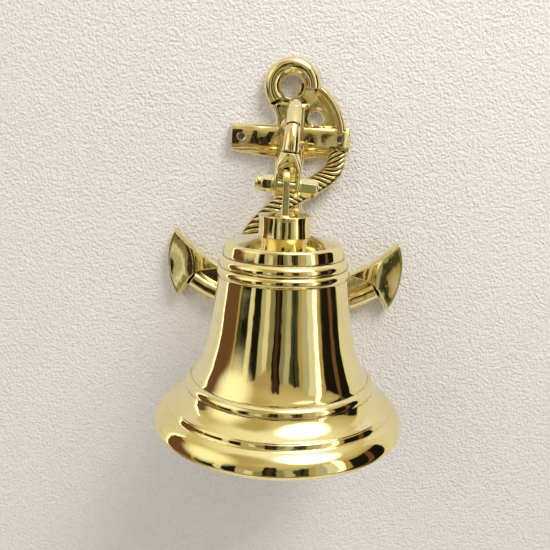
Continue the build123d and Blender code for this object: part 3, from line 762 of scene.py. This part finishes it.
# ==== Bell ============================================================================
def bell_profile():
    """Radius and height above the mouth, down the outside and up the inside."""
    outside = [(4.2, 115.0), (16.5, 115.0), (32.6, 111.6)]
    outside += arc((32.6, 111.6), (34.3, 110.9), (34.9, 109.4), 6)
    outside += [(34.9, 109.4), (35.7, 104.6), (35.3, 104.2), (35.4, 103.7), (36.0, 103.4)]
    outside += arc((36.0, 103.2), (38.0, 100.6), (37.0, 97.6), 16)
    outside += arc((37.0, 97.6), (38.9, 95.0), (37.5, 91.9), 16)
    waist = smooth_line([(37.7, 91.7), (38.5, 86), (40.1, 75), (42.6, 58.5), (45.8, 45.8), (48.9, 38.3),
                         (53.0, 31.7)], ((0.12, -1.0), (0.62, -0.78)), 0.5)
    outside += [tuple(point) for point in waist]
    outside += [(52.9, 31.2)] + arc((53.3, 31.2), (56.0, 29.4), (56.4, 25.8), 16)
    outside += arc((56.4, 25.8), (60.6, 20.7), (66.0, 17.1), 24) + [(66.0, 17.1), (65.9, 16.6), (66.5, 16.3)]
    outside += arc((66.6, 15.9), (67.0, 14.2), (68.4, 12.8), 8)
    outside += arc((68.4, 12.8), (72.8, 9.0), (75.0, 4.6), 16)
    outside += arc((75.0, 4.6), (74.5, 1.5), (72.0, 0.0), 10)
    bore = smooth_line([(68.6, 0), (62.6, 10), (55.4, 20), (48.8, 30), (42.2, 45), (38.8, 60), (36.3, 76),
                        (34.4, 92), (32.6, 103)], ((-0.45, 0.9), (-0.2, 1.0)), 0.5)
    inside = [(72.0, 0.0)] + [tuple(point) for point in bore]
    inside += arc((32.6, 103.0), (30.6, 106.8), (26.6, 108.6), 8)
    inside += [(26.6, 108.6), (14.0, 110.6), (4.2, 110.6)]
    return [(radius, mouth_z + height) for radius, height in outside + inside]


def make_bell():
    shape = turned(bell_profile(), (axis_x, axis_y), round(288 / DETAIL))
    piece("bell_casting", shape, "bell", "bell", finishes["bell"])


# ==== Clapper and what holds it =======================================================
clevis_top = mouth_z + 109.4


def clapper_clevis(x, y, z):
    a, b, up = x - axis_x, y - axis_y, z - clapper_pin[2]
    top = z - clevis_top
    head = both(hexagon(a, b, 14.0), np.maximum(top, -top - 11.0), 0.5)
    head = both(head, (np.hypot(a, b) - 7.0 + np.abs(top + 5.5) - 5.2) * sqrt(0.5), 0.3)
    plate = np.where(up < 0, np.hypot(b, up), np.abs(b)) - 6.6
    cheeks = both(both(plate, np.abs(a) - 5.3, 0.6), top + 8, 0.3)
    slot = np.maximum(np.abs(a) - 2.9, up - 6.2)
    metal = without(either(head, cheeks, 0.5), slot, 0.3)
    metal = np.maximum(metal, 2.0 - np.hypot(b, up))
    return np.maximum(metal, np.minimum(4.0 - np.hypot(a, b), z - boss_foot + 15.0))


def clapper_pin_shape(x, y, z):
    a, b, up = x - axis_x, y - axis_y, z - clapper_pin[2]
    far = np.hypot(b, up)
    head = both(far - 3.2, np.abs(np.abs(a) - 5.9) - 0.6, 0.45)
    return np.minimum(head, np.maximum(far - 2.0, np.abs(a) - 5.6))


def clapper_rod(x, y, z):
    a, b, up = x - axis_x, y - axis_y, z - clapper_pin[2]
    eye = both(np.hypot(b, up) - 5.4, np.abs(a) - 2.1, 0.6)
    rod_end = ball_z - ball_radius - 5.0
    rod = both(np.hypot(a, b) - 2.5, np.maximum(up + 4.0, rod_end - z), 0.4)
    return without(either(eye, rod, 1.2), np.hypot(b, up) - 2.05, 0.2)


def clapper_ball(x, y, z):
    far = np.hypot(x - axis_x, y - axis_y)
    ball = np.hypot(far, z - ball_z) - ball_radius
    belt = 0.18 * np.exp(-((z - ball_z) / 0.5) ** 2)
    ball = both(ball + belt, ball_z - ball_radius + 1.0 - z, 0.5)
    return np.maximum(ball, 2.5 - far)


def clapper_nut(x, y, z):
    a, b = x - axis_x, y - axis_y
    far = np.hypot(a, b)
    down = ball_z - ball_radius + 1.0 - z
    barrel = both(far - 4.2, np.maximum(-down, down - 7.0), 0.4)
    end = np.where(down > 7.0, np.hypot(far, down - 7.0) - 4.2, far - 4.2)
    nut = np.minimum(barrel, np.maximum(end, 5.5 - down))
    nut = nut + 0.25 * np.exp(-((down - 1.6) / 0.35) ** 2)
    nut = without(nut, np.hypot(a, down - 8.0) - 1.6, 0.4)
    return np.maximum(nut, np.minimum(2.5 - far, 6.0 - down))


def crown_washer(x, y, z):
    far = np.hypot(x - axis_x, y - axis_y)
    return np.maximum(both(far - 10.0, np.abs(z - clevis_top - 0.6) - 0.6, 0.3), 4.0 - far)


def make_small_parts():
    """Each small part: its distance field, body, CAD node, finish and cell size."""
    for name, field, body, node, finish, cell in (
        ("arm_fork", fork, "bracket", "arm", "polished", 0.3),
        ("pivot_bolt_hex", pivot_bolt, "bracket", "pivot_bolt", "plain", 0.25),
        ("pivot_nut_domed", pivot_nut, "bracket", "pivot_nut", "plain", 0.22),
        ("pivot_washer_pair", pivot_washers, "bracket", "pivot_washers", "plain", 0.22),
        ("arm_washer_turned", arm_washer, "bracket", "arm_washer", "plain", 0.3),
        ("arm_nut_hex", arm_nut, "bracket", "arm_nut", "plain", 0.3),
        ("hanger_casting", hanger, "bell", "hanger", "polished", 0.4),
        ("crown_washer_turned", crown_washer, "bell", "crown_washer", "plain", 0.35),
        ("clapper_clevis_hex", clapper_clevis, "bell", "clapper_clevis", "plain", 0.35),
        ("clapper_pin_riveted", clapper_pin_shape, "bell", "clapper_pin", "plain", 0.25),
        ("clapper_rod_eye", clapper_rod, "clapper", "clapper_rod", "plain", 0.35),
        ("clapper_ball_turned", clapper_ball, "clapper", "clapper_ball", "polished", 0.4),
        ("clapper_nut_turned", clapper_nut, "clapper", "clapper_nut", "plain", 0.22),
    ):
        low, high = (np.array(corner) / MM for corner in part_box(node))
        piece(name, surface(field, low - 0.5, high + 0.5, cell), body, node, finishes[finish])


# ==== Studio: pale wall and floor, soft lights, camera ================================
near_wall = 0.006                # metres; rays that start nearer to the wall pass through it


def stage_material(name, colour, bump_scale, bump_height):
    """Pale paint with a fine texture. Seen from behind, or from closer than the gap between
    the anchor and the wall, it lets light through."""
    material = bpy.data.materials.new(name)
    material.use_nodes = True
    nodes, links = material.node_tree.nodes, material.node_tree.links
    shader = nodes["Principled BSDF"]
    shader.inputs["Roughness"].default_value = 0.75
    place = nodes.new("ShaderNodeTexCoord").outputs["Object"]
    grain = nodes.new("ShaderNodeTexNoise")
    grain.inputs["Scale"].default_value = bump_scale
    grain.inputs["Detail"].default_value = 4.0
    links.new(place, grain.inputs["Vector"])
    tone = nodes.new("ShaderNodeMix")
    tone.data_type = "RGBA"
    tone.inputs["A"].default_value = (*[0.90 * c for c in colour], 1)
    tone.inputs["B"].default_value = (*colour, 1)
    links.new(grain.outputs["Fac"], tone.inputs["Factor"])
    links.new(tone.outputs["Result"], shader.inputs["Base Color"])
    bump = nodes.new("ShaderNodeBump")
    bump.inputs["Distance"].default_value = bump_height
    links.new(grain.outputs["Fac"], bump.inputs["Height"])
    links.new(bump.outputs["Normal"], shader.inputs["Normal"])
    behind = nodes.new("ShaderNodeNewGeometry").outputs["Backfacing"]
    near = nodes.new("ShaderNodeMath")
    near.operation = "LESS_THAN"
    near.inputs[1].default_value = near_wall
    links.new(nodes.new("ShaderNodeLightPath").outputs["Ray Length"], near.inputs[0])
    open_part = nodes.new("ShaderNodeMath")
    open_part.operation = "MAXIMUM"
    links.new(behind, open_part.inputs[0])
    links.new(near.outputs["Value"], open_part.inputs[1])
    clear = nodes.new("ShaderNodeBsdfTransparent")
    choice = nodes.new("ShaderNodeMixShader")
    links.new(open_part.outputs["Value"], choice.inputs["Fac"])
    links.new(shader.outputs["BSDF"], choice.inputs[1])
    links.new(clear.outputs["BSDF"], choice.inputs[2])
    links.new(choice.outputs["Shader"], nodes["Material Output"].inputs["Surface"])
    return material


def stage_plane(name, corners, material):
    mesh = bpy.data.meshes.new(name)
    mesh.from_pydata(corners, [], [(0, 1, 2, 3)])
    mesh.materials.append(material)
    item = bpy.data.objects.new(name, mesh)
    bpy.context.scene.collection.objects.link(item)


def soft_light(name, place, aim, size, power, colour=(1, 1, 1)):
    data = bpy.data.lights.new(name, "AREA")
    data.shape = "RECTANGLE"
    data.size, data.size_y = size
    data.energy = power
    data.color = colour
    item = bpy.data.objects.new(name, data)
    item.location = place
    item.rotation_euler = (Vector(aim) - Vector(place)).to_track_quat("-Z", "Y").to_euler()
    item.visible_glossy = False
    bpy.context.scene.collection.objects.link(item)


def make_room():
    """What the polished brass mirrors: upright light and dark strips, a floor and ceiling gradient and soft
    patches, all placed for the main view. Diffuse light comes from a plain soft gradient, and the camera
    sees one plain pale tone."""
    world = bpy.data.worlds.new("studio")
    bpy.context.scene.world = world
    world.use_nodes = True
    nodes, links = world.node_tree.nodes, world.node_tree.links
    place = nodes.new("ShaderNodeTexCoord").outputs["Generated"]
    ripple = nodes.new("ShaderNodeTexNoise")
    ripple.inputs["Scale"].default_value = 3.0
    ripple.inputs["Detail"].default_value = 3.0
    links.new(place, ripple.inputs["Vector"])
    split = nodes.new("ShaderNodeSeparateXYZ")
    links.new(place, split.inputs["Vector"])

    def calc(operation, a, b=0.0, c=0.0):
        node = nodes.new("ShaderNodeMath")
        node.operation = operation
        for socket, value in zip(node.inputs, (a, b, c)):
            if isinstance(value, (int, float)):
                socket.default_value = value
            else:
                links.new(value, socket)
        return node.outputs["Value"]

    def ramp(value, stops, interpolation="EASE"):
        node = nodes.new("ShaderNodeValToRGB")
        node.color_ramp.interpolation = interpolation
        points = node.color_ramp.elements
        while len(points) < len(stops):
            points.new(0.5)
        for point, (position, colour) in zip(points, stops):
            point.position = position
            point.color = (*colour, 1)
        links.new(value, node.inputs["Fac"])
        return node.outputs["Color"]

    def blend(amount, a, b):
        node = nodes.new("ShaderNodeMix")
        node.data_type = "RGBA"
        inputs = node.inputs
        for socket, value in ((inputs["Factor"], amount), (inputs["A"], a), (inputs["B"], b)):
            if isinstance(value, tuple):
                socket.default_value = (*value, 1)
            elif isinstance(value, (int, float)):
                socket.default_value = value
            else:
                links.new(value, socket)
        return node.outputs["Result"]

    def strips(value, first, last, bands):
        """Upright strips between two azimuths. A band is where it starts, its colour, and how
        high it reaches, all in degrees; the height is kept in the ramp's alpha."""
        node = nodes.new("ShaderNodeValToRGB")
        node.color_ramp.interpolation = "LINEAR"
        points = node.color_ramp.elements
        while len(points) < 2 * len(bands):
            points.new(0.5)
        ends = [start for start, _, _ in bands[1:]] + [last + 1]
        for n, ((start, colour, reach), end) in enumerate(zip(bands, ends)):
            for point, azimuth in ((points[2 * n], start + 0.5), (points[2 * n + 1], end - 0.5)):
                point.position = min(1.0, (azimuth - first) / (last - first))
                point.color = (*colour, reach / 90)
        links.new(value, node.inputs["Fac"])
        return node.outputs["Color"], node.outputs["Alpha"]

    def patch(direction, inner, outer):
        """1 within an angle of a direction, 0 beyond a wider one."""
        node = nodes.new("ShaderNodeVectorMath")
        node.operation = "DOT_PRODUCT"
        links.new(place, node.inputs[0])
        node.inputs[1].default_value = Vector(direction).normalized()
        edge = nodes.new("ShaderNodeMapRange")
        edge.interpolation_type = "SMOOTHSTEP"
        edge.inputs["From Min"].default_value = cos(radians(outer))
        edge.inputs["From Max"].default_value = cos(radians(inner))
        links.new(node.outputs["Value"], edge.inputs["Value"])
        return edge.outputs["Result"]

    # azimuth from the front, negative to the left; the strips stand between floor and ceiling
    turn = calc("ARCTAN2", split.outputs["X"], calc("MULTIPLY", split.outputs["Y"], -1.0))
    wander = calc("MULTIPLY_ADD", ripple.outputs["Fac"], 0.12, -0.06)
    azimuth = calc("ADD", turn, wander)
    black, green = (0.010, 0.009, 0.007), (0.05, 0.055, 0.03)
    brown, dark_red = (0.15, 0.075, 0.035), (0.06, 0.03, 0.02)
    gold, olive = (0.46, 0.33, 0.13), (0.26, 0.24, 0.13)
    sand, cream, white = (0.48, 0.45, 0.31), (0.78, 0.73, 0.56), (1.9, 1.8, 1.5)
    left, left_top = strips(calc("MULTIPLY_ADD", azimuth, 1 / pi, 1.0), -180, 0, [
        (-180, cream, 40), (-111, white, 40), (-108, brown, 28), (-77, gold, 24), (-74, green, 18),
        (-66, black, 14), (-54, cream, 12), (-47, black, 20), (-35, sand, 12), (-27, cream, 10),
        (-20, olive, 10), (-12, black, 32), (-9, dark_red, 32), (-4, black, 34)])
    right, right_top = strips(calc("MULTIPLY", azimuth, 1 / pi), 0, 180, [
        (0, olive, 22), (7, sand, 24), (15, green, 24), (20, black, 26), (22, green, 24), (27, gold, 28),
        (33, sand, 30), (42, cream, 34), (53, white, 40), (60, gold, 28), (66, black, 24), (84, brown, 25),
        (90, black, 26), (104, cream, 45)])
    to_right = calc("GREATER_THAN", azimuth, 0.0)
    walls = blend(to_right, left, right)
    up = calc("ARCSINE", split.outputs["Z"])
    level = calc("MULTIPLY_ADD", ripple.outputs["Fac"], 0.24, calc("ADD", up, -0.12))
    height = calc("MULTIPLY_ADD", level, 1 / pi, 0.5)
    surround = ramp(height, [
        (0.0, (0.10, 0.06, 0.025)), (0.25, (0.22, 0.15, 0.07)), (0.35, (0.40, 0.30, 0.15)),
        (0.62, (0.46, 0.36, 0.18)), (0.74, (0.66, 0.57, 0.33)), (0.86, (0.95, 0.89, 0.68)),
        (1.0, (1.05, 1.0, 0.82)),
    ])
    tops = calc("ADD", calc("MULTIPLY", left_top, calc("SUBTRACT", 1.0, to_right)),
                calc("MULTIPLY", right_top, to_right))
    room_for_more = calc("SUBTRACT", calc("MULTIPLY", tops, pi / 2), level)
    below_top = calc("MULTIPLY_ADD", room_for_more, 25.0, 0.5)
    sharpness = 8.0                                 # of the strips' lower ends
    foot, extra_foot = radians(25), radians(12)     # how far down they reach; more at far right
    far_right = calc("MULTIPLY", calc("GREATER_THAN", azimuth, radians(62)), sharpness * extra_foot)
    above_floor = calc("ADD", calc("MULTIPLY_ADD", level, sharpness, 0.5 + sharpness * foot), far_right)
    strip_zone = nodes.new("ShaderNodeMath")
    strip_zone.operation = "MULTIPLY"
    strip_zone.use_clamp = True
    for socket, value in zip(strip_zone.inputs, (below_top, above_floor)):
        clamped = nodes.new("ShaderNodeClamp")
        links.new(value, clamped.inputs["Value"])
        links.new(clamped.outputs["Result"], socket)
    room = blend(strip_zone.outputs["Value"], surround, walls)
    room = blend(patch((-0.40, -0.50, 0.77), 10, 24), room, (0.52, 0.40, 0.19))
    room = blend(patch((0.34, -0.34, 0.88), 10, 24), room, (3.6, 3.5, 3.2))
    room = blend(patch((-0.82, -0.36, 0.44), 2, 30), room, (1.25, 1.18, 0.90))
    soft = ramp(height, [(0.0, (0.22, 0.20, 0.17)), (0.5, (0.46, 0.44, 0.42)), (1.0, (0.72, 0.71, 0.70))])
    rays = nodes.new("ShaderNodeLightPath")
    lit = blend(rays.outputs["Is Diffuse Ray"], room, soft)
    seen = blend(rays.outputs["Is Camera Ray"], lit, (0.78, 0.76, 0.73))
    background = nodes["Background"]
    links.new(seen, background.inputs["Color"])
    background.inputs["Strength"].default_value = 1.0


def make_stage():
    wall = stage_material("pale_plaster", (0.86, 0.835, 0.81), 560.0, 0.0021)
    floor = stage_material("pale_floor", (0.78, 0.74, 0.67), 60.0, 0.0003)
    wide, gap, floor_z, top_z = 0.27, 0.0006, -0.75, 0.8
    stage_plane("wall", [(-wide, gap, floor_z), (wide, gap, floor_z), (wide, gap, top_z),
                         (-wide, gap, top_z)], wall)
    stage_plane("floor", [(-0.6, gap, floor_z), (-0.6, -0.7, floor_z), (0.6, -0.7, floor_z),
                          (0.6, gap, floor_z)], floor)
    middle = (0, -0.06, -0.08)
    soft_light("key", (0.5, -0.7, 0.85), middle, (0.5, 0.5), 11, (1, 0.98, 0.95))
    soft_light("fill", (-1.0, -1.2, 0.4), middle, (0.9, 0.9), 5, (1, 0.97, 0.94))


def make_camera():
    """The view that the fit of the bell's and the anchor's outlines gives."""
    data = bpy.data.cameras.new("camera")
    data.sensor_width = 36.0
    data.lens = 36.0 * 650 / 550
    item = bpy.data.objects.new("camera", data)
    pitch, yaw, roll = radians(-12.53), radians(0.12), radians(1.9)
    ahead = Vector((sin(yaw) * cos(pitch), cos(yaw) * cos(pitch), sin(pitch)))
    right = Vector((cos(yaw), -sin(yaw), 0))
    up = right.cross(ahead)
    right, up = right * cos(roll) + up * sin(roll), up * cos(roll) - right * sin(roll)
    turn = Matrix((right, up, -ahead)).transposed().to_4x4()
    item.matrix_world = Matrix.Translation((-0.0084, -0.4617, 0.0045)) @ turn
    bpy.context.scene.collection.objects.link(item)
    bpy.context.scene.camera = item


bpy.context.scene.view_settings.view_transform = "Standard"
make_camera()
make_room()
make_stage()
make_bell()
make_anchor()
make_rope()
make_neck()
make_small_parts()
